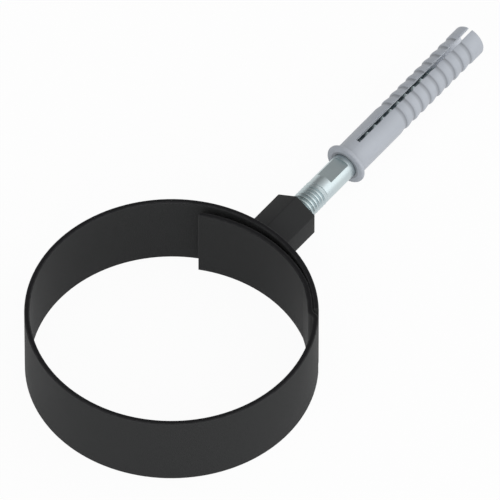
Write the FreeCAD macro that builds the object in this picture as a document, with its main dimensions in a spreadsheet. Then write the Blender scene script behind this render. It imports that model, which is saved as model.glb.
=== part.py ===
import FreeCAD, Part
import math
import os
import Sketcher
from FreeCAD import Placement, Rotation, Vector

# Wall bracket for a flue pipe: strip-steel clamp band, hexagonal threaded boss, hanger bolt and nylon plug.
# Millimetres. The flue runs along Z, the wall is at +Y, and the origin is where the flue's axis crosses
# the bolt's axis, half way up the band. Angles go round the flue from +X towards the wall.

doc = FreeCAD.newDocument("flue_bracket")
sheet = doc.addObject("Spreadsheet::Sheet", "Sizes")

# Driving dimensions
sizes = {
    # clamp band, rolled from one strip
    "flue_diameter": 80.0,
    "strip_thickness": 1.5,
    "strip_width": 24.0,
    "strip_edge_chamfer": 0.25,
    "lap_gap": 0.15,
    "joggle_angle": 33.6,
    "joggle_bend_radius": 0.9,
    "free_end_angle": 38.4,
    "lap_end_angle": 52.0,
    "tongue_bend_radius": 4.0,
    "tongue_bend_angle": 5.8,
    "tongue_tightening": 0.35,
    "tongue_end_angle": 115.4,
    "band_hole_clearance": 0.35,
    # hexagonal boss and its weld
    "boss_across_flats": 13.0,
    "boss_length": 16.7,
    "boss_countersink": 0.7,
    "weld_leg": 2.0,
    "weld_slope": 1.7,
    "weld_corner_radius": 2.0,
    # hanger bolt
    "bolt_end_gap": 0.5,
    "thread_diameter": 7.9,
    "thread_clearance": 0.05,
    "thread_length": 29.3,
    "thread_chamfer": 1.0,
    "shank_diameter": 7.7,
    "shank_step": 0.2,
    "shank_length": 17.8,
    "flats_across": 6.0,
    "flats_lead": 3.3,
    "flats_length": 8.0,
    "bolt_length": 90.0,
    "wood_root_diameter": 5.6,
    "wood_crest_diameter": 7.6,
    "wood_pitch": 3.6,
    "wood_foot_width": 1.6,
    "wood_foot_sink": 0.2,
    "point_length": 7.0,
    "point_radius": 0.4,
    "run_out_length": 10.5,
    "run_out_radius": 0.6,
    # nylon wall plug
    "plug_setback": 12.8,
    "plug_beyond_point": 11.5,
    "plug_diameter": 10.0,
    "plug_clearance": 0.1,
    "collar_diameter": 12.8,
    "collar_thickness": 1.4,
    "collar_edge_chamfer": 0.4,
    "slit_start": 6.1,
    "slit_width": 1.5,
    "last_barb_setback": 5.8,
    "barb_pitch": 3.8,
    "barb_depth": 0.45,
    "barb_taper": 2.7,
    "barb_shoulder": 0.5,
    "barb_count": 9,
    "tip_chamfer": 0.6,
    # how far a cutting tool runs past the face that it cuts
    "cut_margin": 1.0,
}

for row, (alias, number) in enumerate(sizes.items(), start=1):
    sheet.set("A%d" % row, alias)
    sheet.set("B%d" % row, str(number))
    sheet.setAlias("B%d" % row, alias)
doc.recompute()


def cells(text):
    """An expression in which each word in angle brackets is a cell of the sheet."""
    return text.replace("<", "Sizes.").replace(">", "")


def value(expression):
    """The number that an expression has now."""
    result = sheet.evalExpression(expression)
    return float(getattr(result, "Value", result))


# Derived places, as expressions of the cells
band_outer = cells("(<flue_diameter> / 2 + <strip_thickness>)")
band_inner = cells("(<flue_diameter> / 2)")
lap_inner = cells("(<flue_diameter> / 2 - <strip_thickness> - <lap_gap>)")
tongue_radius = cells("(<flue_diameter> / 2 - <tongue_tightening>)")
# centre of the tongue's arc, which follows the small bend at the end of the lap
tongue_centre = cells("((%s - <tongue_bend_radius>) * FN(<lap_end_angle> * 1deg)"
                      " + (<tongue_bend_radius> - %s)"
                      " * FN((<lap_end_angle> + <tongue_bend_angle>) * 1deg))" % (lap_inner, tongue_radius))
tongue_centre_x = tongue_centre.replace("FN", "cos")
tongue_centre_y = tongue_centre.replace("FN", "sin")
# the tongue's back on the bolt's axis, and the stations along that axis
tongue_back = cells("(%s + sqrt((%s + <strip_thickness>)^2 - (%s)^2))"
                    % (tongue_centre_y, tongue_radius, tongue_centre_x))
bolt_end = cells("(%s + <bolt_end_gap>)" % tongue_back)
shank_start = cells("(%s + <thread_length>)" % bolt_end)
shank_end = cells("(%s + <shank_length>)" % shank_start)
bolt_point = cells("(%s + <bolt_length>)" % bolt_end)
plug_mouth = cells("(%s + <plug_setback>)" % shank_start)
plug_tip = cells("(%s + <plug_beyond_point>)" % bolt_point)
thread_radius = cells("(<thread_diameter> / 2)")
shank_radius = cells("(<shank_diameter> / 2)")
bore_radius = cells("(<thread_diameter> / 2 + <thread_clearance>)")
plug_radius = cells("(<plug_diameter> / 2)")

# the bolt's direction, and the same with a hexagon turned by half a side, so that a corner is up
hexagon_sides = 6
half_side_angle = 180 / hexagon_sides
along_bolt = Rotation(Vector(1, 0, 0), -90)
corner_up = along_bolt.multiply(Rotation(Vector(0, 0, 1), half_side_angle))
nearly = 1e-6


def polar(radius, angle):
    return Vector(radius * math.cos(math.radians(angle)), radius * math.sin(math.radians(angle)), 0)


def direction(centre, point):
    """The angle at which a point is seen from a centre, from 0 to 360 degrees."""
    return math.degrees(math.atan2(point.y - centre.y, point.x - centre.x)) % 360


def named(sketch, constraint, name, expression):
    """Add a dimension to a sketch, name it and tie it to the sheet."""
    index = sketch.addConstraint(constraint)
    sketch.renameConstraint(index, name)
    sketch.setExpression("Constraints." + name, expression)


def outline(sketch, points, prefix="p"):
    """A closed outline of straight lines, each corner placed by two expressions. A corner's x of None
    lies on the sketch's upright axis."""
    places = [Vector(0 if x is None else value(x), value(y), 0) for x, y in points]
    lines = []
    for i, place in enumerate(places):
        lines.append(sketch.addGeometry(Part.LineSegment(place, places[(i + 1) % len(places)])))
    for i, line in enumerate(lines):
        x, y = points[i]
        sketch.addConstraint(Sketcher.Constraint("Coincident", lines[i - 1], 2, line, 1))
        if x is None:
            sketch.addConstraint(Sketcher.Constraint("PointOnObject", line, 1, -2))
        else:
            corner = Sketcher.Constraint("DistanceX", -1, 1, line, 1, places[i].x)
            named(sketch, corner, "%s%dx" % (prefix, i), x)
        corner = Sketcher.Constraint("DistanceY", -1, 1, line, 1, places[i].y)
        named(sketch, corner, "%s%dy" % (prefix, i), y)
    return lines


def sketch_in(body, name, role="XY_Plane"):
    """A sketch on one of a body's own origin planes."""
    plane = [feature for feature in body.Origin.OriginFeatures if feature.Role == role][0]
    sketch = body.newObject("Sketcher::SketchObject", name)
    sketch.AttachmentSupport = [(plane, "")]
    sketch.MapMode = "FlatFace"
    return sketch


def edge_numbers(item, wanted):
    """The numbers of the edges of an object that a test picks, counted from 1."""
    return [i for i, edge in enumerate(item.Shape.Edges, start=1) if wanted(edge)]


def dressed(kind, name, item, wanted, size):
    """A fillet or chamfer of one size on the picked edges of a solid."""
    doc.recompute()
    result = doc.addObject(kind, name)
    result.Base = item
    result.Edges = [(number, size, size) for number in edge_numbers(item, wanted)]
    return result


def cut(name, base, tool):
    result = doc.addObject("Part::Cut", name)
    result.Base = base
    result.Tool = tool
    return result


def bar(kind, name, start, **dimensions):
    """A prism, cylinder or cone that stands on the bolt's axis at a station."""
    item = doc.addObject(kind, name)
    item.Placement = Placement(Vector(), along_bolt)
    item.setExpression("Placement.Base.y", start)
    for prop, expression in dimensions.items():
        item.setExpression(prop, expression)
    return item


# Clamp band: the inner face of the strip is a chain of six tangent arcs, from the free outer end
# round the flue to the joggle, then the lap, and the tongue that springs inwards
def make_band():
    inner, lap, tongue = value(band_inner), value(lap_inner), value(tongue_radius)
    thickness = value("Sizes.strip_thickness")
    bend = value("Sizes.joggle_bend_radius")
    kink = value("Sizes.tongue_bend_radius")
    free_end, joggle = value("Sizes.free_end_angle"), value("Sizes.joggle_angle")
    lap_end, kink_turn = value("Sizes.lap_end_angle"), value("Sizes.tongue_bend_angle")
    tongue_end = value("Sizes.tongue_end_angle")

    # the joggle is two opposite bends whose centres are two bend radii and a thickness apart
    bend_out_distance = lap + bend + thickness
    bend_in_distance = inner - bend
    apart = 2 * bend + thickness
    joggle_turn = math.degrees(math.acos((bend_in_distance ** 2 + bend_out_distance ** 2 - apart ** 2)
                                         / (2 * bend_in_distance * bend_out_distance)))
    origin = Vector()
    bend_in = polar(bend_in_distance, joggle)
    bend_out = polar(bend_out_distance, joggle + joggle_turn)
    between = bend_in + (bend_out - bend_in) * (bend / apart)
    lap_start = polar(lap, joggle + joggle_turn)
    kink_centre = polar(lap - kink, lap_end)
    tongue_middle = Vector(value(tongue_centre_x), value(tongue_centre_y), 0)
    ray = polar(1, tongue_end)
    reach = ray.dot(tongue_middle)
    tip = ray * (reach + math.sqrt(reach ** 2 - tongue_middle.dot(tongue_middle) + tongue ** 2))

    sketch = doc.addObject("Sketcher::SketchObject", "StripLine")

    def arc(centre, radius, start, end):
        circle = Part.Circle(centre, Vector(0, 0, 1), radius)
        return sketch.addGeometry(Part.ArcOfCircle(circle, math.radians(start), math.radians(end)))

    ring_arc = arc(origin, inner, free_end, joggle + 360)
    in_arc = arc(bend_in, bend, joggle, direction(bend_in, between))
    out_arc = arc(bend_out, bend + thickness, direction(bend_out, lap_start), direction(bend_out, between))
    lap_arc = arc(origin, lap, joggle + joggle_turn, lap_end)
    kink_arc = arc(kink_centre, kink, lap_end, lap_end + kink_turn)
    tongue_arc = arc(tongue_middle, tongue, lap_end + kink_turn, direction(tongue_middle, tip))

    constrain = Sketcher.Constraint
    joints = ((ring_arc, 2, in_arc, 1), (in_arc, 2, out_arc, 2), (out_arc, 1, lap_arc, 1),
              (lap_arc, 2, kink_arc, 1), (kink_arc, 2, tongue_arc, 1))
    for first, first_end, second, second_end in joints:
        sketch.addConstraint(constrain("Tangent", first, first_end, second, second_end))
    for centred in (ring_arc, lap_arc):
        sketch.addConstraint(constrain("Coincident", centred, 3, -1, 1))
    radii = ((ring_arc, inner, "ring_radius", band_inner),
             (in_arc, bend, "bend_in_radius", cells("<joggle_bend_radius>")),
             (out_arc, bend + thickness, "bend_out_radius", cells("<joggle_bend_radius> + <strip_thickness>")),
             (lap_arc, lap, "lap_radius", lap_inner),
             (kink_arc, kink, "kink_radius", cells("<tongue_bend_radius>")),
             (tongue_arc, tongue, "tongue_radius", tongue_radius))
    for curve, radius, name, expression in radii:
        named(sketch, constrain("Radius", curve, radius), name, expression)
    turn = constrain("Angle", kink_arc, math.radians(kink_turn))
    named(sketch, turn, "kink_turn", cells("<tongue_bend_angle> * 1deg"))
    ends = ((ring_arc, 1, polar(inner, free_end), free_end, "free_end_angle"),
            (ring_arc, 2, polar(inner, joggle), joggle, "joggle_angle"),
            (lap_arc, 2, polar(lap, lap_end), lap_end, "lap_end_angle"),
            (tongue_arc, 2, tip, tongue_end, "tongue_end_angle"))
    for curve, end, point, angle, name in ends:
        spoke = sketch.addGeometry(Part.LineSegment(origin, point), True)
        sketch.addConstraint(constrain("Coincident", spoke, 1, -1, 1))
        sketch.addConstraint(constrain("Coincident", spoke, 2, curve, end))
        spoke_angle = constrain("Angle", spoke, math.radians(angle))
        named(sketch, spoke_angle, name, cells("<%s> * 1deg" % name))

    section = doc.addObject("Part::Offset2D", "StripSection")
    section.Source = sketch
    section.Mode = "Skin"
    section.Fill = True
    section.setExpression("Value", cells("<strip_thickness>"))

    strip = doc.addObject("Part::Extrusion", "Strip")
    strip.Base = section
    strip.DirMode = "Custom"
    strip.Dir = Vector(0, 0, 1)
    strip.Symmetric = True
    strip.Solid = True
    strip.setExpression("LengthFwd", cells("<strip_width>"))

    half_width = value("Sizes.strip_width") / 2
    rims = dressed("Part::Chamfer", "EasedEdges", strip,
                   lambda edge: abs(abs(edge.CenterOfMass.z) - half_width) < nearly,
                   value("Sizes.strip_edge_chamfer"))

    # the bolt passes through the outer layer only
    hole = bar("Part::Cylinder", "BoltHole", "(%s + %s) / 2" % (tongue_back, band_inner),
               Radius=cells("%s + <band_hole_clearance>" % thread_radius),
               Height=cells("%s - (%s + %s) / 2 + <cut_margin>" % (band_outer, tongue_back, band_inner)))
    band = cut("Band", rims, hole)
    band.Label = "clamp_band"
    return band


# Boss: a long hexagon nut that stands on the band with two of its corners towards the band's rims
def hexagon_bar(name, start, across_flats, length):
    corner_radius = "(%s) / 2 / cos(%gdeg)" % (across_flats, half_side_angle)
    blank = bar("Part::Prism", name, start, Circumradius=corner_radius, Height=length)
    blank.Polygon = hexagon_sides
    blank.Placement.Rotation = corner_up
    return blank


def make_boss():
    blank = hexagon_bar("BossBlank", band_outer, cells("<boss_across_flats>"), cells("<boss_length>"))
    bore = bar("Part::Cylinder", "BossBore", cells("%s - <cut_margin>" % band_outer),
               Radius=bore_radius, Height=cells("<boss_length> + 2 * <cut_margin>"))
    drilled = cut("DrilledBoss", blank, bore)
    sink = bar("Part::Cone", "BossCountersink", cells("%s + <boss_length> - <boss_countersink>" % band_outer),
               Radius1=bore_radius, Radius2=cells("%s + <boss_countersink>" % bore_radius),
               Height=cells("<boss_countersink>"))
    boss = cut("Boss", drilled, sink)
    boss.Label = "hex_boss"
    return boss


# Weld: a bead round the foot of the boss, sloped on its outer face and seated on the band's curve
def make_weld():
    half_foot = cells("(<boss_across_flats> / 2 + <weld_leg>)")
    foot = cells("(sqrt(%s^2 - %s^2) - <cut_margin>)" % (band_outer, half_foot))
    blank = hexagon_bar("WeldBlank", foot, "2 * %s" % half_foot, cells("%s + <weld_leg> - %s" % (band_outer, foot)))
    corners = dressed("Part::Fillet", "WeldCorners", blank,
                      lambda edge: abs(edge.tangentAt(edge.FirstParameter).y) > 1 - nearly,
                      value("Sizes.weld_corner_radius"))
    face = value(cells("%s + <weld_leg>" % band_outer))
    sloped = dressed("Part::Chamfer", "WeldSlope", corners,
                     lambda edge: abs(edge.BoundBox.YMin - face) < nearly,
                     value("Sizes.weld_slope"))
    core = hexagon_bar("WeldCore", cells("%s - <cut_margin>" % foot), cells("<boss_across_flats>"),
                       cells("%s + <weld_leg> - %s + 2 * <cut_margin>" % (band_outer, foot)))
    ring = cut("WeldRing", sloped, core)
    seat = doc.addObject("Part::Cylinder", "WeldSeat")
    seat.setExpression("Radius", band_outer)
    seat.setExpression("Height", cells("<strip_width>"))
    seat.setExpression("Placement.Base.z", cells("-<strip_width> / 2"))
    weld = cut("Weld", ring, seat)
    weld.Label = "boss_weld"
    return weld


# Hanger bolt: machine thread, plain shank with two spanner flats, coarse wood thread and point
def make_bolt():
    body = doc.addObject("PartDesign::Body", "Bolt")
    body.Label = "hanger_bolt"
    root_radius = cells("(<wood_root_diameter> / 2)")
    crest_radius = cells("(<wood_crest_diameter> / 2)")
    profile = sketch_in(body, "BoltProfile")
    outline(profile, [
        (None, bolt_end),
        (cells("%s - <thread_chamfer>" % thread_radius), bolt_end),
        (thread_radius, cells("%s + <thread_chamfer>" % bolt_end)),
        (thread_radius, cells("%s - <shank_step>" % shank_start)),
        (shank_radius, shank_start),
        (shank_radius, shank_end),
        (root_radius, "%s + %s - %s" % (shank_end, shank_radius, root_radius)),
        (root_radius, cells("%s - <point_length>" % bolt_point)),
        (cells("<point_radius>"), bolt_point),
        (None, bolt_point),
    ])
    turned = body.newObject("PartDesign::Revolution", "BoltTurned")
    turned.Profile = profile
    turned.ReferenceAxis = (profile, ["V_Axis"])
    turned.Angle = 360

    # the wood thread's section, a sharp ridge whose foot is sunk in the root
    section = sketch_in(body, "WoodThreadSection")
    foot_radius = cells("(%s - <wood_foot_sink>)" % root_radius)
    outline(section, [
        (foot_radius, cells("%s - <wood_foot_width> / 2" % shank_end)),
        (crest_radius, shank_end),
        (foot_radius, cells("%s + <wood_foot_width> / 2" % shank_end)),
    ])
    thread = body.newObject("PartDesign::AdditiveHelix", "WoodThread")
    thread.Profile = section
    thread.ReferenceAxis = (section, ["V_Axis"])
    thread.Mode = "pitch-height-angle"
    thread.setExpression("Pitch", cells("<wood_pitch>"))
    thread.setExpression("Height", cells("%s - %s - <wood_foot_width>" % (bolt_point, shank_end)))

    # the crest runs out on the point
    run_out = sketch_in(body, "PointCone")
    beyond = cells("(%s + <cut_margin>)" % crest_radius)
    run_out_start = cells("%s - <run_out_length>" % bolt_point)
    past_point = cells("%s + <cut_margin>" % bolt_point)
    outline(run_out, [
        (beyond, run_out_start),
        (crest_radius, run_out_start),
        (cells("<run_out_radius>"), bolt_point),
        (cells("<run_out_radius>"), past_point),
        (beyond, past_point),
    ])
    sharpened = body.newObject("PartDesign::Groove", "PointTurned")
    sharpened.Profile = run_out
    sharpened.ReferenceAxis = (run_out, ["V_Axis"])
    sharpened.Angle = 360

    flats = sketch_in(body, "FlatsOutline", "YZ_Plane")
    flats_start = cells("(%s + <flats_lead>)" % shank_start)
    flats_end = cells("(%s + <flats_length>)" % flats_start)
    for side, prefix in (("", "upper"), ("-", "lower")):
        near = cells(side + "<flats_across> / 2")
        far = cells("%s(%s + <cut_margin>)" % (side, shank_radius))
        outline(flats, [(flats_start, near), (flats_end, near), (flats_end, far), (flats_start, far)], prefix)
    milled = body.newObject("PartDesign::Pocket", "SpannerFlats")
    milled.Profile = flats
    milled.SideType = "Symmetric"
    milled.setExpression("Length", cells("2 * (%s + <cut_margin>)" % shank_radius))
    body.Tip = milled
    return body


# Wall plug: a sleeve open at both ends, with a collar, a plain neck, saw-tooth barbs and a slit that
# leaves two legs
def make_plug():
    body = doc.addObject("PartDesign::Body", "Plug")
    body.Label = "wall_plug"
    hollow_radius = cells("(%s + <plug_clearance>)" % shank_radius)
    collar_radius = cells("(<collar_diameter> / 2)")
    collar_back = cells("(%s + <collar_thickness>)" % plug_mouth)
    profile = sketch_in(body, "PlugProfile")
    outline(profile, [
        (hollow_radius, plug_mouth),
        (collar_radius, plug_mouth),
        (collar_radius, collar_back),
        (plug_radius, collar_back),
        (plug_radius, cells("%s - <tip_chamfer>" % plug_tip)),
        (cells("%s - <tip_chamfer>" % plug_radius), plug_tip),
        (hollow_radius, plug_tip),
    ])
    moulded = body.newObject("PartDesign::Revolution", "PlugMoulded")
    moulded.Profile = profile
    moulded.ReferenceAxis = (profile, ["V_Axis"])
    moulded.Angle = 360
    doc.recompute()

    rim = value(collar_radius)
    collar = body.newObject("PartDesign::Chamfer", "CollarEdges")
    collar.Base = (moulded, ["Edge%d" % number for number in edge_numbers(
        moulded, lambda edge: hasattr(edge.Curve, "Radius") and abs(edge.Curve.Radius - rim) < nearly)])
    collar.setExpression("Size", cells("<collar_edge_chamfer>"))

    # one saw tooth, its steep shoulder towards the mouth, repeated along the legs up to the tip
    tooth = sketch_in(body, "BarbSection")
    valley = cells("(%s - <last_barb_setback> - <barb_pitch> * (<barb_count> - 1))" % plug_tip)
    beyond = cells("(%s + <cut_margin>)" % plug_radius)
    outline(tooth, [
        (plug_radius, cells("%s - <barb_taper>" % valley)),
        (cells("%s - <barb_depth>" % plug_radius), valley),
        (plug_radius, cells("%s + <barb_shoulder>" % valley)),
        (beyond, cells("%s + <barb_shoulder>" % valley)),
        (beyond, cells("%s - <barb_taper>" % valley)),
    ])
    barb = body.newObject("PartDesign::Groove", "Barb")
    barb.Profile = tooth
    barb.ReferenceAxis = (tooth, ["V_Axis"])
    barb.Angle = 360
    barbs = body.newObject("PartDesign::LinearPattern", "Barbs")
    barbs.Originals = [barb]
    barbs.Direction = (tooth, ["V_Axis"])
    barbs.setExpression("Occurrences", cells("<barb_count>"))
    barbs.setExpression("Length", cells("<barb_pitch> * (<barb_count> - 1)"))
    body.Tip = barbs

    slit = sketch_in(body, "SlitOutline")
    half = cells("(<slit_width> / 2)")
    root = cells("(%s + <slit_start>)" % plug_mouth)
    slit_end = cells("(%s + <cut_margin>)" % plug_tip)
    outline(slit, [("-%s" % half, root), (half, root), (half, slit_end), ("-%s" % half, slit_end)])
    sawn = body.newObject("PartDesign::Pocket", "Slit")
    sawn.Profile = slit
    sawn.SideType = "Symmetric"
    sawn.setExpression("Length", cells("<plug_diameter> + 2 * <cut_margin>"))
    body.Tip = sawn
    return body


pieces = [make_band(), make_boss(), make_weld(), make_bolt(), make_plug()]
doc.recompute()

for item in doc.Objects:
    faults = [state for state in item.State if state in ("Invalid", "Error")]
    if faults:
        raise RuntimeError("%s failed: %s" % (item.Label, ", ".join(faults)))
os.makedirs("parts", exist_ok=True)
for piece in pieces:
    shape = piece.Shape
    if shape.isNull() or not shape.isValid() or len(shape.Solids) != 1:
        raise RuntimeError("%s is not one sound solid" % piece.Label)
    print("%-12s volume %9.2f mm3, %3d faces, y %7.2f to %7.2f" % (
        piece.Label, shape.Volume, len(shape.Faces), shape.BoundBox.YMin, shape.BoundBox.YMax))
for piece in pieces:
    piece.Shape.exportStep("parts/%s.step" % piece.Label)
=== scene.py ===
import math

import bpy
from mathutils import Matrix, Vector


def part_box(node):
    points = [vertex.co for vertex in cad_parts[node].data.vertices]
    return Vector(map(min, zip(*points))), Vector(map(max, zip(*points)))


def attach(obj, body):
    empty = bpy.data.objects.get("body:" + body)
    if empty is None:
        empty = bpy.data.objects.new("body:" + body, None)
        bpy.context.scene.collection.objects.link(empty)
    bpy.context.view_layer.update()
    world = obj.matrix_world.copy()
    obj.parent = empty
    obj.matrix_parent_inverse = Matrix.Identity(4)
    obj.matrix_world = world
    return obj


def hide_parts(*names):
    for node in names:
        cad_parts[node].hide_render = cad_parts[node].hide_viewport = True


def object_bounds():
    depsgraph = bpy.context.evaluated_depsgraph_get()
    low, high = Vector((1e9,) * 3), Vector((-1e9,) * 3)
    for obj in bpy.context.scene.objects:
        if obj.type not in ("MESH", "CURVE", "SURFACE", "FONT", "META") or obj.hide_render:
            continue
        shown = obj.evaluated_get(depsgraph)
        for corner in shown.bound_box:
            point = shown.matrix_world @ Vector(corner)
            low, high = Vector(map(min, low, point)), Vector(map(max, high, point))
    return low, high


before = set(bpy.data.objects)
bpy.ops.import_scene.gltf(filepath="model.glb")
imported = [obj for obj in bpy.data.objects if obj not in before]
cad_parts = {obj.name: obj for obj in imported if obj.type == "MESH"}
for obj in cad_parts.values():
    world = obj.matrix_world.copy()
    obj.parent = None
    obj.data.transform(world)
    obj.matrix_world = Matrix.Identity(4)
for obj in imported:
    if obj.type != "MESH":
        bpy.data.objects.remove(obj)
cadLow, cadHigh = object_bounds()
print("frame loaded:", ", ".join(sorted(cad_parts)))

millimetre = 0.001
alongBolt = (0, 1, 0)

# how close points lie that merge, in metres, and the steps of a turned shape
meshing = {
    "outlineGap": 0.000001,
    "turnedGap": 0.000002,
    "threadGap": 0.000005,
    "turnedSteps": 64,
}


# small helpers for working as by hand
def deselectAll():
    bpy.ops.object.select_all(action="DESELECT")


def pick(piece):
    deselectAll()
    piece.select_set(True)
    bpy.context.view_layer.objects.active = piece


def editAll(piece):
    pick(piece)
    bpy.ops.object.mode_set(mode="EDIT")
    bpy.ops.mesh.select_mode(type="VERT")
    bpy.ops.mesh.select_all(action="SELECT")


def leaveEdit():
    bpy.ops.object.mode_set(mode="OBJECT")


def applyPlace():
    bpy.ops.object.transform_apply(location=True, rotation=True, scale=True)


def modify(piece, kind, **settings):
    # adds a modifier with its settings and applies it
    modifier = piece.modifiers.new(kind.lower(), kind)
    for key, value in settings.items():
        setattr(modifier, key, value)
    pick(piece)
    bpy.ops.object.modifier_apply(modifier=modifier.name)


def cutWith(piece, tool, operation="DIFFERENCE"):
    modify(piece, "BOOLEAN", operation=operation, solver="EXACT", object=tool)
    bpy.data.objects.remove(tool)


def drawLine(name, points, closed=False):
    # one vertex, pulled along the outline from point to point
    path = [*points, points[0]] if closed else points
    deselectAll()
    bpy.ops.mesh.primitive_plane_add(size=millimetre, location=path[0])
    piece = bpy.context.object
    piece.name = piece.data.name = name
    editAll(piece)
    bpy.ops.mesh.merge(type="CENTER")
    for before, after in zip(path, path[1:]):
        step = Vector(after) - Vector(before)
        bpy.ops.mesh.extrude_region_move(TRANSFORM_OT_translate={"value": step})
    if closed:
        bpy.ops.mesh.select_all(action="SELECT")
        bpy.ops.mesh.remove_doubles(threshold=meshing["outlineGap"])
    leaveEdit()
    applyPlace()
    return piece


def spinRound(piece, steps=meshing["turnedSteps"]):
    # an outline turned once about the bolt's axis
    editAll(piece)
    bpy.ops.mesh.spin(steps=steps, angle=2 * math.pi, center=(0, 0, 0), axis=alongBolt)
    bpy.ops.mesh.select_all(action="SELECT")
    bpy.ops.mesh.remove_doubles(threshold=meshing["turnedGap"])
    bpy.ops.mesh.normals_make_consistent(inside=False)
    leaveEdit()


def cutAcross(station, keep):
    # in edit mode: cuts all off on one side of a station in millimetres, and closes the cut
    bpy.ops.mesh.select_all(action="SELECT")
    bpy.ops.mesh.bisect(plane_co=(0, station * millimetre, 0), plane_no=alongBolt, use_fill=True,
                        clear_inner=keep == "beyond", clear_outer=keep == "before")


def arcPoints(centre, radius, start, end, steps):
    # points of a rounded corner in the plane of the bolt's axis, as (distance from the axis, station)
    found = []
    for i in range(steps + 1):
        angle = math.radians(start + (end - start) * i / steps)
        found.append((centre[0] + radius * math.cos(angle), centre[1] + radius * math.sin(angle)))
    return found


def inFrame(outline):
    # (distance from the bolt's axis, station) in millimetres to places in the frame
    return [(radius * millimetre, station * millimetre, 0) for radius, station in outline]


def meshCopy(node, name):
    # a welded copy of a CAD node's mesh, free of its imported normals
    piece = bpy.data.objects.new(name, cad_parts[node].data.copy())
    bpy.context.scene.collection.objects.link(piece)
    editAll(piece)
    bpy.ops.mesh.remove_doubles(threshold=meshing["outlineGap"])
    leaveEdit()
    if piece.data.has_custom_normals:
        bpy.ops.mesh.customdata_custom_splitnormals_clear()
    return piece


def coat(piece, material):
    piece.data.materials.clear()
    piece.data.materials.append(material)


def smoothBelow(piece, degrees):
    pick(piece)
    bpy.ops.object.shade_smooth_by_angle(angle=math.radians(degrees))


# helpers for materials
def add(tree, kind, values=(), **settings):
    node = tree.nodes.new("ShaderNode" + kind)
    for key, value in settings.items():
        setattr(node, key, value)
    for key, value in dict(values).items():
        node.inputs[key].default_value = value
    return node


def mathNode(tree, operation, first, second=0.0, clamp=False):
    node = add(tree, "Math", operation=operation, use_clamp=clamp)
    for socket, value in zip(node.inputs, (first, second)):
        if isinstance(value, (int, float)):
            socket.default_value = value
        else:
            tree.links.new(value, socket)
    return node.outputs[0]


def mapRange(tree, value, fromMin=0.0, fromMax=1.0, toMin=0.0, toMax=1.0, **settings):
    node = add(tree, "MapRange", {"From Min": fromMin, "From Max": fromMax,
                                  "To Min": toMin, "To Max": toMax}, **settings)
    tree.links.new(value, node.inputs["Value"])
    return node.outputs["Result"]


def spread(tree, value, ends):
    # a 0 to 1 value spread between two ends
    return mapRange(tree, value, toMin=ends[0], toMax=ends[1])


def mixColour(tree, factor, first, second, blend="MIX"):
    node = add(tree, "Mix", data_type="RGBA", blend_type=blend)
    for key, value in ((0, factor), (6, first), (7, second)):  # factor and the two colours
        if isinstance(value, bpy.types.NodeSocket):
            tree.links.new(value, node.inputs[key])
        else:
            node.inputs[key].default_value = value if key == 0 else (*value, 1.0)
    return node.outputs[2]


def objectPlace(tree):
    return add(tree, "TexCoord").outputs["Object"]


def splitPlace(tree, place):
    apart = add(tree, "SeparateXYZ")
    tree.links.new(place, apart.inputs[0])
    return apart.outputs


def bump(tree, shader, height, distance, under=None):
    node = add(tree, "Bump", {"Distance": distance})
    tree.links.new(height, node.inputs["Height"])
    if under:
        tree.links.new(under, node.inputs["Normal"])
    tree.links.new(node.outputs["Normal"], shader.inputs["Normal"])
    return node.outputs["Normal"]


def newGroup(name, inputs, outputs):
    group = bpy.data.node_groups.new(name, "ShaderNodeTree")
    for label, kind, value in inputs:
        socket = group.interface.new_socket(name=label, in_out="INPUT", socket_type=kind)
        socket.default_value = value
    for label, kind in outputs:
        group.interface.new_socket(name=label, in_out="OUTPUT", socket_type=kind)
    return group, group.nodes.new("NodeGroupInput"), group.nodes.new("NodeGroupOutput")


def useGroup(tree, group, values):
    node = tree.nodes.new("ShaderNodeGroup")
    node.node_tree = group
    for key, value in values.items():
        node.inputs[key].default_value = value
    return node


def newMaterial(name):
    material = bpy.data.materials.new(name)
    material.use_nodes = True
    tree = material.node_tree
    tree.nodes.clear()
    shader = add(tree, "BsdfPrincipled")
    output = add(tree, "OutputMaterial")
    tree.links.new(shader.outputs["BSDF"], output.inputs["Surface"])
    return material, tree, shader


# edge wear: 1 on a worn edge, 0 elsewhere, broken up by noise
wearMask = {
    "samples": 8,
    "noise": {"Detail": 3.0, "Roughness": 0.6},
    "gain": 9.0,        # from the bend of an edge to its wear
    "patchGain": 2.4,
    "patchLoss": 0.7,
}


def makeEdgeWearGroup():
    s = wearMask
    group, given, out = newGroup("edgeWear", [("Radius", "NodeSocketFloat", 0.0003),
                                              ("Amount", "NodeSocketFloat", 1.0),
                                              ("Breakup", "NodeSocketFloat", 400.0)],
                                 [("Mask", "NodeSocketFloat")])
    link = group.links.new
    soft = add(group, "Bevel", samples=s["samples"])
    link(given.outputs["Radius"], soft.inputs["Radius"])
    hard = add(group, "NewGeometry")
    dot = add(group, "VectorMath", operation="DOT_PRODUCT")
    link(soft.outputs["Normal"], dot.inputs[0])
    link(hard.outputs["Normal"], dot.inputs[1])
    bend = mathNode(group, "SUBTRACT", 1.0, dot.outputs["Value"])
    amount = mathNode(group, "MULTIPLY", given.outputs["Amount"], s["gain"])
    worn = mathNode(group, "MULTIPLY", bend, amount)
    noise = add(group, "TexNoise", s["noise"])
    link(objectPlace(group), noise.inputs["Vector"])
    link(given.outputs["Breakup"], noise.inputs["Scale"])
    patches = mathNode(group, "MULTIPLY", noise.outputs["Fac"], s["patchGain"])
    patches = mathNode(group, "SUBTRACT", patches, s["patchLoss"], clamp=True)
    link(mathNode(group, "MULTIPLY", worn, patches, clamp=True), out.inputs["Mask"])
    return group


# surface grain: a fine noise for texture, and a broad one for slow changes of tone
grainNoise = {
    "fine": {"Detail": 4.0, "Roughness": 0.55},
    "broad": {"Detail": 2.0, "Roughness": 0.5},
}


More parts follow.
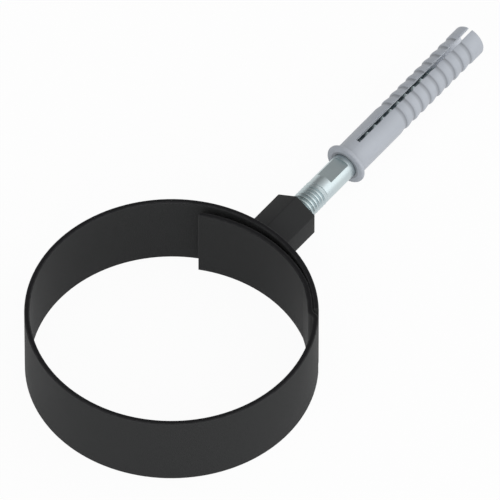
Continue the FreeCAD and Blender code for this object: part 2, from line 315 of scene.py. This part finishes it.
def makeGrainGroup():
    s = grainNoise
    group, given, out = newGroup("surfaceGrain", [("Fine Scale", "NodeSocketFloat", 2500.0),
                                                  ("Broad Scale", "NodeSocketFloat", 60.0),
                                                  ("Stretch", "NodeSocketVector", (1.0, 1.0, 1.0))],
                                 [("Fine", "NodeSocketFloat"), ("Broad", "NodeSocketFloat")])
    link = group.links.new
    place = objectPlace(group)
    stretched = add(group, "Mapping", vector_type="POINT")
    link(place, stretched.inputs["Vector"])
    link(given.outputs["Stretch"], stretched.inputs["Scale"])
    fine = add(group, "TexNoise", s["fine"])
    link(stretched.outputs["Vector"], fine.inputs["Vector"])
    link(given.outputs["Fine Scale"], fine.inputs["Scale"])
    link(fine.outputs["Fac"], out.inputs["Fine"])
    broad = add(group, "TexNoise", s["broad"])
    link(place, broad.inputs["Vector"])
    link(given.outputs["Broad Scale"], broad.inputs["Scale"])
    link(broad.outputs["Fac"], out.inputs["Broad"])
    return group


edgeWear = makeEdgeWearGroup()
surfaceGrain = makeGrainGroup()


def wearEdges(tree, s, colour):
    wear = useGroup(tree, edgeWear, s["wear"])
    share = mathNode(tree, "MULTIPLY", wear.outputs["Mask"], s["wornShare"])
    return mixColour(tree, share, colour, s["worn"])


# in all the materials, radii, fades and depths are in metres

# matt black heat-resistant paint on the band, the boss and the weld
blackPaint = {
    "dark": (0.020, 0.0205, 0.0215),
    "light": (0.028, 0.029, 0.029),
    "tones": (0.1, 0.9),            # how far the colour goes from dark to light
    "rim": (0.007, 0.007, 0.008),   # heavier, darker coat on the strip's cut rims
    "rimFade": 0.0003,
    "worn": (0.068, 0.069, 0.071),
    "wornShare": 0.7,
    "wear": {"Radius": 0.0004, "Amount": 1.2, "Breakup": 700.0},
    "grain": {"Fine Scale": 3200.0, "Broad Scale": 45.0},
    "roughness": (0.60, 0.76),
    "specular": 0.16,
    "grainDepth": 0.00007,
    "waveDepth": 0.00008,
}


def makeBlackPaint(name, rimHeight=None):
    s = blackPaint
    material, tree, shader = newMaterial(name)
    grain = useGroup(tree, surfaceGrain, s["grain"])
    colour = mixColour(tree, spread(tree, grain.outputs["Broad"], s["tones"]), s["dark"], s["light"])
    if rimHeight:
        height = mathNode(tree, "ABSOLUTE", splitPlace(tree, objectPlace(tree))["Z"])
        rim = mapRange(tree, height, rimHeight - s["rimFade"], rimHeight)
        colour = mixColour(tree, rim, colour, s["rim"])
    tree.links.new(wearEdges(tree, s, colour), shader.inputs["Base Color"])
    tree.links.new(spread(tree, grain.outputs["Broad"], s["roughness"]), shader.inputs["Roughness"])
    shader.inputs["Specular IOR Level"].default_value = s["specular"]
    wavy = bump(tree, shader, grain.outputs["Broad"], s["waveDepth"])
    bump(tree, shader, grain.outputs["Fine"], s["grainDepth"], under=wavy)
    return material


# bright zinc plate on turned and rolled steel, with faint lines round the bolt
zincPlate = {
    "dark": (0.455, 0.52, 0.52),
    "light": (0.61, 0.685, 0.68),
    "tones": (0.2, 1.0),
    # painted reflection of a bluish sky, mixed into the zinc's colour in broad patches
    "paintedSkyBlue": (0.51, 0.59, 0.665),
    "paintedSkyBlueShare": (0.0, 0.5),
    "worn": (0.61, 0.685, 0.68),
    "wornShare": 0.5,
    "wear": {"Radius": 0.0002, "Amount": 0.7, "Breakup": 900.0},
    "grain": {"Fine Scale": 900.0, "Broad Scale": 120.0, "Stretch": (0.35, 5.0, 0.35)},
    "metallic": 1.0,
    "roughness": (0.32, 0.46),
    "lineDepth": 0.000012,
}


def makeZincPlate(name):
    s = zincPlate
    material, tree, shader = newMaterial(name)
    lines = useGroup(tree, surfaceGrain, s["grain"])
    colour = mixColour(tree, spread(tree, lines.outputs["Fine"], s["tones"]), s["dark"], s["light"])
    # painted reflection: broad patches of sky blue in the zinc's colour
    colour = mixColour(tree, spread(tree, lines.outputs["Broad"], s["paintedSkyBlueShare"]), colour, s["paintedSkyBlue"])
    tree.links.new(wearEdges(tree, s, colour), shader.inputs["Base Color"])
    tree.links.new(spread(tree, lines.outputs["Fine"], s["roughness"]), shader.inputs["Roughness"])
    shader.inputs["Metallic"].default_value = s["metallic"]
    bump(tree, shader, lines.outputs["Fine"], s["lineDepth"])
    return material


# moulded nylon of the wall plug; the radii are from the plug's axis
greyNylon = {
    "dark": (0.310, 0.333, 0.372),
    "light": (0.465, 0.495, 0.545),
    "tones": (0.3, 1.0),
    "worn": (0.465, 0.495, 0.545),
    "wornShare": 0.4,
    "wear": {"Radius": 0.0003, "Amount": 0.6, "Breakup": 500.0},
    "grain": {"Fine Scale": 1800.0, "Broad Scale": 70.0, "Stretch": (1.0, 0.25, 1.0)},
    "roughness": (0.38, 0.5),
    "grainDepth": 0.000012,
    "valleyRadius": 0.00458,       # painted shade in the valleys between the barbs
    "crestRadius": 0.00478,
    "paintedValleyShade": 0.62,
    "inside": (0.72, 0.75, 0.80),  # painted light: paler slit and bore, standing in for light that comes through the walls
    "insideRadius": 0.00454,
    "insideStart": 0.004,          # from the mouth
    "insideFade": 0.0015,
}


def makeGreyNylon(name):
    s = greyNylon
    material, tree, shader = newMaterial(name)
    grain = useGroup(tree, surfaceGrain, s["grain"])
    colour = mixColour(tree, spread(tree, grain.outputs["Broad"], s["tones"]), s["dark"], s["light"])
    colour = wearEdges(tree, s, colour)
    place = objectPlace(tree)
    flat = add(tree, "VectorMath", {1: (1, 0, 1)}, operation="MULTIPLY")  # leaves out the plug's length
    tree.links.new(place, flat.inputs[0])
    fromAxis = add(tree, "VectorMath", operation="LENGTH")
    tree.links.new(flat.outputs["Vector"], fromAxis.inputs[0])
    radius = fromAxis.outputs["Value"]
    # painted shade: the colour darkens where the surface comes down into a barb's valley
    crest = mapRange(tree, radius, s["valleyRadius"], s["crestRadius"], s["paintedValleyShade"])
    colour = mixColour(tree, 1.0, colour, crest, blend="MULTIPLY")
    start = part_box("wall_plug")[0].y + s["insideStart"]
    deep = mapRange(tree, splitPlace(tree, place)["Y"], start, start + s["insideFade"])
    # painted light: the slit and bore are made paler, for light coming through the nylon walls
    inside = mathNode(tree, "MULTIPLY", mathNode(tree, "LESS_THAN", radius, s["insideRadius"]), deep)
    tree.links.new(mixColour(tree, inside, colour, s["inside"]), shader.inputs["Base Color"])
    tree.links.new(spread(tree, grain.outputs["Fine"], s["roughness"]), shader.inputs["Roughness"])
    bump(tree, shader, grain.outputs["Fine"], s["grainDepth"])
    return material


bandPaint = makeBlackPaint("bandPaint", rimHeight=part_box("clamp_band")[1].z)
bossPaint = makeBlackPaint("bossPaint")
zincFinish = makeZincPlate("zincFinish")
nylonFinish = makeGreyNylon("nylonFinish")
print("materials made")

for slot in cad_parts["clamp_band"].material_slots:
    slot.material = bandPaint
print("band coated")


# hanger bolt: the solid's shank and wood thread, with a real machine thread in front, in millimetres
machineThread = {
    "pitch": 1.25,
    "crestRadius": 3.95,
    "rootRadius": 3.33,
    "crestFlat": 0.18,
    "rootFlat": 0.30,
    "stepsPerTurn": 40,
    "spareTurns": 2,     # cut off at the two ends
    "lead": 0.8,         # chamfer at the free end
    "blankSpare": 0.05,  # the blank that trims the thread stands this far clear of its crests
    "freeSpare": 0.01,   # and of its free end
    "shankSpare": 0.5,   # and reaches this far into the shank
    "shankStart": 29.3,  # from the free end
    "runOut": 0.9,
    "runOutStep": 0.1,   # from the run-out's rim down from the crests
    "smoothBelow": 28,   # degrees
}


def makeMachineThread(start, end):
    s = machineThread
    flank = (s["pitch"] - s["crestFlat"] - s["rootFlat"]) / 2
    base = start - s["pitch"]
    rise = base + s["rootFlat"]
    crest = rise + flank
    rod = drawLine("machineThread", inFrame([
        (s["rootRadius"], base), (s["rootRadius"], rise), (s["crestRadius"], crest),
        (s["crestRadius"], crest + s["crestFlat"]), (s["rootRadius"], base + s["pitch"])]))
    modify(rod, "SCREW", axis="Y", screw_offset=s["pitch"] * millimetre,
           iterations=math.ceil((end - start) / s["pitch"]) + s["spareTurns"],
           steps=s["stepsPerTurn"], render_steps=s["stepsPerTurn"])
    editAll(rod)
    bpy.ops.mesh.remove_doubles(threshold=meshing["threadGap"])
    cutAcross(start, keep="beyond")
    cutAcross(end, keep="before")
    bpy.ops.mesh.select_all(action="SELECT")
    bpy.ops.mesh.normals_make_consistent(inside=False)
    leaveEdit()
    return rod


def makeHangerBolt():
    s = machineThread
    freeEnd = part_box("hanger_bolt")[0].y / millimetre
    shankStart = freeEnd + s["shankStart"]
    bolt = meshCopy("hanger_bolt", "hangerBolt")
    editAll(bolt)
    cutAcross(shankStart, keep="beyond")
    leaveEdit()
    rod = makeMachineThread(freeEnd, shankStart)
    # the chamfer at the free end
    outside = s["crestRadius"] + s["blankSpare"]
    blankStart, blankEnd = freeEnd - s["freeSpare"], shankStart + s["shankSpare"]
    blank = drawLine("threadBlank", inFrame([
        (0, blankStart), (outside - s["lead"], blankStart), (outside, freeEnd + s["lead"]),
        (outside, blankEnd), (0, blankEnd)]))
    spinRound(blank)
    cutWith(rod, blank, "INTERSECT")
    # the thread runs out in a short cone at the shank
    runOutStart = shankStart - s["runOut"]
    runOut = drawLine("runOut", inFrame([
        (0, runOutStart), (s["rootRadius"], runOutStart),
        (s["crestRadius"] - s["runOutStep"], shankStart), (0, shankStart)]))
    spinRound(runOut)
    pick(bolt)
    rod.select_set(True)
    runOut.select_set(True)
    bpy.ops.object.join()
    coat(bolt, zincFinish)
    smoothBelow(bolt, s["smoothBelow"])
    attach(bolt, "bolt")
    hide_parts("hanger_bolt")
    return bolt


hangerBolt = makeHangerBolt()
print("hanger bolt made:", len(hangerBolt.data.polygons), "faces")


# boss: drawn hexagon steel with softened edges, bored and countersunk, in millimetres
hexBoss = {
    "boreRadius": 4.0,
    "countersink": 0.7,
    "drillSpare": 1,     # the drill reaches this far out of both ends
    "softEdge": 0.3,
    "softSegments": 3,
    "smoothBelow": 25,   # degrees
}


def makeHexBoss():
    s = hexBoss
    low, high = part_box("hex_boss")
    deselectAll()
    bpy.ops.mesh.primitive_cylinder_add(vertices=6, radius=high.z, depth=high.y - low.y,
                                        location=(0, (low.y + high.y) / 2, 0),
                                        rotation=(math.pi / 2, 0, 0))
    boss = bpy.context.object
    boss.name = boss.data.name = "hexBoss"
    applyPlace()
    modify(boss, "BEVEL", width=s["softEdge"] * millimetre, segments=s["softSegments"])
    start, end = low.y / millimetre, high.y / millimetre
    bore, sink, spare = s["boreRadius"], s["countersink"], s["drillSpare"]
    drill = drawLine("drill", inFrame([
        (0, start - spare), (bore, start - spare), (bore, end - sink), (bore + sink + spare, end + spare),
        (0, end + spare)]))
    spinRound(drill)
    cutWith(boss, drill)
    coat(boss, bossPaint)
    smoothBelow(boss, s["smoothBelow"])
    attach(boss, "bracket")
    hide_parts("hex_boss")
    return boss


bossPiece = makeHexBoss()
print("boss made:", len(bossPiece.data.polygons), "faces")


# wall plug: collar with a rolled rim, saw-tooth barbs, two legs split by a slit, in millimetres
wallPlug = {
    "boreRadius": 3.95,
    "neckRadius": 5.0,
    "collarThickness": 1.4,
    "collarRound": 0.62,
    "collarFillet": 0.3,
    "barbCount": 9,
    "barbPitch": 3.8,
    "barbDepth": 0.45,
    "barbTaper": 2.7,
    "barbShoulder": 0.5,
    "lastBarbSetback": 5.8,
    "tipRound": 0.8,
    "roundSteps": 4,
    "filletSteps": 2,
    "slitStart": 6.1,
    "slitWidth": 1.5,
    "sawHeight": 15,
    "sawSpare": 1,       # the saw reaches this far out of the tip
    "softEdge": 0.1,
    "softSegments": 2,
    "softAbove": 40,     # degrees
    "steps": 72,
    "smoothBelow": 35,   # degrees
}


def plugOutline(mouth, tip, collarRadius):
    s = wallPlug
    neck, bore = s["neckRadius"], s["boreRadius"]
    rim, fillet, end, steps = s["collarRound"], s["collarFillet"], s["tipRound"], s["roundSteps"]
    collarBack = mouth + s["collarThickness"]
    outline = [(bore, mouth)]
    outline += arcPoints((collarRadius - rim, mouth + rim), rim, -90, 0, steps)
    outline += arcPoints((collarRadius - rim, collarBack - rim), rim, 0, 90, steps)
    outline += arcPoints((neck + fillet, collarBack + fillet), fillet, -90, -180, s["filletSteps"])
    valley = tip - s["lastBarbSetback"] - s["barbPitch"] * (s["barbCount"] - 1)
    for i in range(s["barbCount"]):
        outline += [(neck, valley - s["barbTaper"]), (neck - s["barbDepth"], valley),
                    (neck, valley + s["barbShoulder"])]
        valley += s["barbPitch"]
    outline += arcPoints((neck - end, tip - end), end, 0, 90, steps)
    outline.append((bore, tip))
    return outline


def makeWallPlug():
    s = wallPlug
    low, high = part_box("wall_plug")
    mouth, tip = low.y / millimetre, high.y / millimetre
    outline = plugOutline(mouth, tip, high.x / millimetre)
    plug = drawLine("wallPlug", inFrame(outline), closed=True)
    spinRound(plug, s["steps"])
    # the saw that parts the two legs
    sawStart, sawEnd = mouth + s["slitStart"], tip + s["sawSpare"]
    deselectAll()
    bpy.ops.mesh.primitive_cube_add(
        size=1, location=(0, (sawStart + sawEnd) / 2 * millimetre, 0),
        scale=(s["slitWidth"] * millimetre, (sawEnd - sawStart) * millimetre, s["sawHeight"] * millimetre))
    saw = bpy.context.object
    applyPlace()
    cutWith(plug, saw)
    modify(plug, "BEVEL", width=s["softEdge"] * millimetre, segments=s["softSegments"],
           limit_method="ANGLE", angle_limit=math.radians(s["softAbove"]))
    coat(plug, nylonFinish)
    smoothBelow(plug, s["smoothBelow"])
    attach(plug, "plug")
    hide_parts("wall_plug")
    return plug


plugPiece = makeWallPlug()
print("wall plug made:", len(plugPiece.data.polygons), "faces")


# weld: the bead round the foot of the boss, softened and rippled, in metres
weldBead = {
    "voxel": 0.00016,
    "smoothing": 3,
    "rippleSize": 0.0011,
    "rippleDepth": 0.0006,
    "rippleMiddle": 0.45,
}


def makeWeld():
    s = weldBead
    bead = meshCopy("boss_weld", "weldBead")
    modify(bead, "REMESH", mode="VOXEL", voxel_size=s["voxel"])
    modify(bead, "SMOOTH", iterations=s["smoothing"])
    ripple = bpy.data.textures.new("weldRipple", "CLOUDS")
    ripple.noise_scale = s["rippleSize"]
    modify(bead, "DISPLACE", texture=ripple, texture_coords="LOCAL", strength=s["rippleDepth"],
           mid_level=s["rippleMiddle"])
    coat(bead, bossPaint)
    bpy.ops.object.shade_smooth()
    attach(bead, "bracket")
    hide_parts("boss_weld")
    return bead


weldPiece = makeWeld()
print("weld made:", len(weldPiece.data.polygons), "faces")


# the white table and a soft room that is brighter on the picture's right
studio = {
    "floorSize": 6.0,         # metres
    "floorColour": (0.86, 0.86, 0.86, 1),
    "floorWhite": 0.95,       # share of plain white that eye and mirror see in the floor
    "horizonTop": 0.14,       # height of the white band round the room, as a sine
    "dimFrom": 0.4,           # height from which the room has its side's own brightness, as a sine
    "dimSide": 0.24,
    "brightSide": 1.0,
    "sideEnds": (-0.6, 0.5),  # from the dim side to the bright one, as a sine
    "roomColour": (1, 1, 1, 1),
}


def cameraOrMirror(tree):
    # 1 for rays that see the floor directly, in a reflection or through glass
    path = add(tree, "LightPath")
    seen = mathNode(tree, "MAXIMUM", path.outputs["Is Camera Ray"], path.outputs["Is Glossy Ray"])
    return mathNode(tree, "MAXIMUM", seen, path.outputs["Is Transmission Ray"])


def makeFloor():
    s = studio
    deselectAll()
    bpy.ops.mesh.primitive_plane_add(size=s["floorSize"], location=(0, 0, cadLow.z))
    floor = bpy.context.object
    floor.name = "whiteTable"
    applyPlace()
    material = bpy.data.materials.new("whiteTable")
    material.use_nodes = True
    tree = material.node_tree
    tree.nodes.clear()
    lit = add(tree, "BsdfDiffuse", {"Color": s["floorColour"]})
    plain = add(tree, "Emission", {"Strength": 1.0})
    both = add(tree, "MixShader")
    tree.links.new(mathNode(tree, "MULTIPLY", cameraOrMirror(tree), s["floorWhite"]), both.inputs[0])
    tree.links.new(lit.outputs[0], both.inputs[1])
    tree.links.new(plain.outputs[0], both.inputs[2])
    output = add(tree, "OutputMaterial")
    tree.links.new(both.outputs[0], output.inputs["Surface"])
    material.cycles.emission_sampling = "NONE"  # the plain white is for the eye and isn't a lamp
    coat(floor, material)


def makeWorld():
    s = studio
    world = bpy.data.worlds.new("softRoom")
    bpy.context.scene.world = world
    world.use_nodes = True
    tree = world.node_tree
    tree.nodes.clear()
    towards = splitPlace(tree, add(tree, "TexCoord").outputs["Generated"])
    side = mapRange(tree, towards["X"], *s["sideEnds"], s["dimSide"], s["brightSide"])
    high = mapRange(tree, towards["Z"], s["horizonTop"], s["dimFrom"], interpolation_type="SMOOTHSTEP")
    # white at the horizon, and the side's own brightness above it
    loss = mathNode(tree, "MULTIPLY", high, mathNode(tree, "SUBTRACT", 1.0, side))
    room = add(tree, "Background", {"Color": s["roomColour"]})
    tree.links.new(mathNode(tree, "SUBTRACT", 1.0, loss), room.inputs["Strength"])
    output = add(tree, "OutputWorld")
    tree.links.new(room.outputs[0], output.inputs["Surface"])


# the camera, far off and with a long lens, because the photo is drawn almost without perspective
photoView = {
    "azimuth": 37.42,     # degrees
    "elevation": 49.89,
    "lens": 1500,         # millimetres, like the sensor
    "sensor": 36,
    "width": 0.1410,      # of the picture at the object, in metres
    "aimRight": 0.02211,  # the picture's middle from the origin, in metres
    "aimUp": 0.02488,
    "clipRatio": 10,      # nearest and farthest against the camera's distance
}


def viewAxes():
    # the picture's rightward direction, and the way back to the camera
    azimuth, elevation = math.radians(photoView["azimuth"]), math.radians(photoView["elevation"])
    right = Vector((math.cos(azimuth), math.sin(azimuth), 0))
    back = Vector((math.sin(azimuth) * math.cos(elevation), -math.cos(azimuth) * math.cos(elevation),
                   math.sin(elevation)))
    return right, back


# lamps stand by the picture's own directions from the object's middle, at which they are aimed,
# in metres and watts
lamps = {
    "keyLamp": {"rightwards": 1.7, "towards": 0.0, "height": 0.5, "size": 2.4, "power": 9},
    "fillLamp": {"rightwards": -0.5, "towards": 1.3, "height": 0.8, "size": 1.2, "power": 5},
}


def makeLamp(name):
    s = lamps[name]
    right, back = viewAxes()
    level = Vector((back.x, back.y, 0)).normalized()
    target = (cadLow + cadHigh) / 2
    place = target + right * s["rightwards"] + level * s["towards"] + Vector((0, 0, s["height"]))
    deselectAll()
    bpy.ops.object.light_add(type="AREA", location=place)
    lamp = bpy.context.object
    lamp.name = lamp.data.name = name
    lamp.rotation_euler = (target - place).to_track_quat("-Z", "Y").to_euler()
    lamp.data.shape = "DISK"
    lamp.data.size = s["size"]
    lamp.data.energy = s["power"]


def makeCamera():
    s = photoView
    right, back = viewAxes()
    aim = right * s["aimRight"] + back.cross(right) * s["aimUp"]
    distance = s["width"] / s["sensor"] * s["lens"]
    deselectAll()
    bpy.ops.object.camera_add(location=aim + back * distance)
    camera = bpy.context.object
    camera.rotation_euler = back.to_track_quat("Z", "Y").to_euler()
    camera.data.lens = s["lens"]
    camera.data.sensor_width = s["sensor"]
    camera.data.clip_start = distance / s["clipRatio"]
    camera.data.clip_end = distance * s["clipRatio"]
    bpy.context.scene.camera = camera


makeFloor()
makeWorld()
for lampName in lamps:
    makeLamp(lampName)
makeCamera()
bpy.context.scene.view_settings.view_transform = "Standard"
print("table, light and camera set")
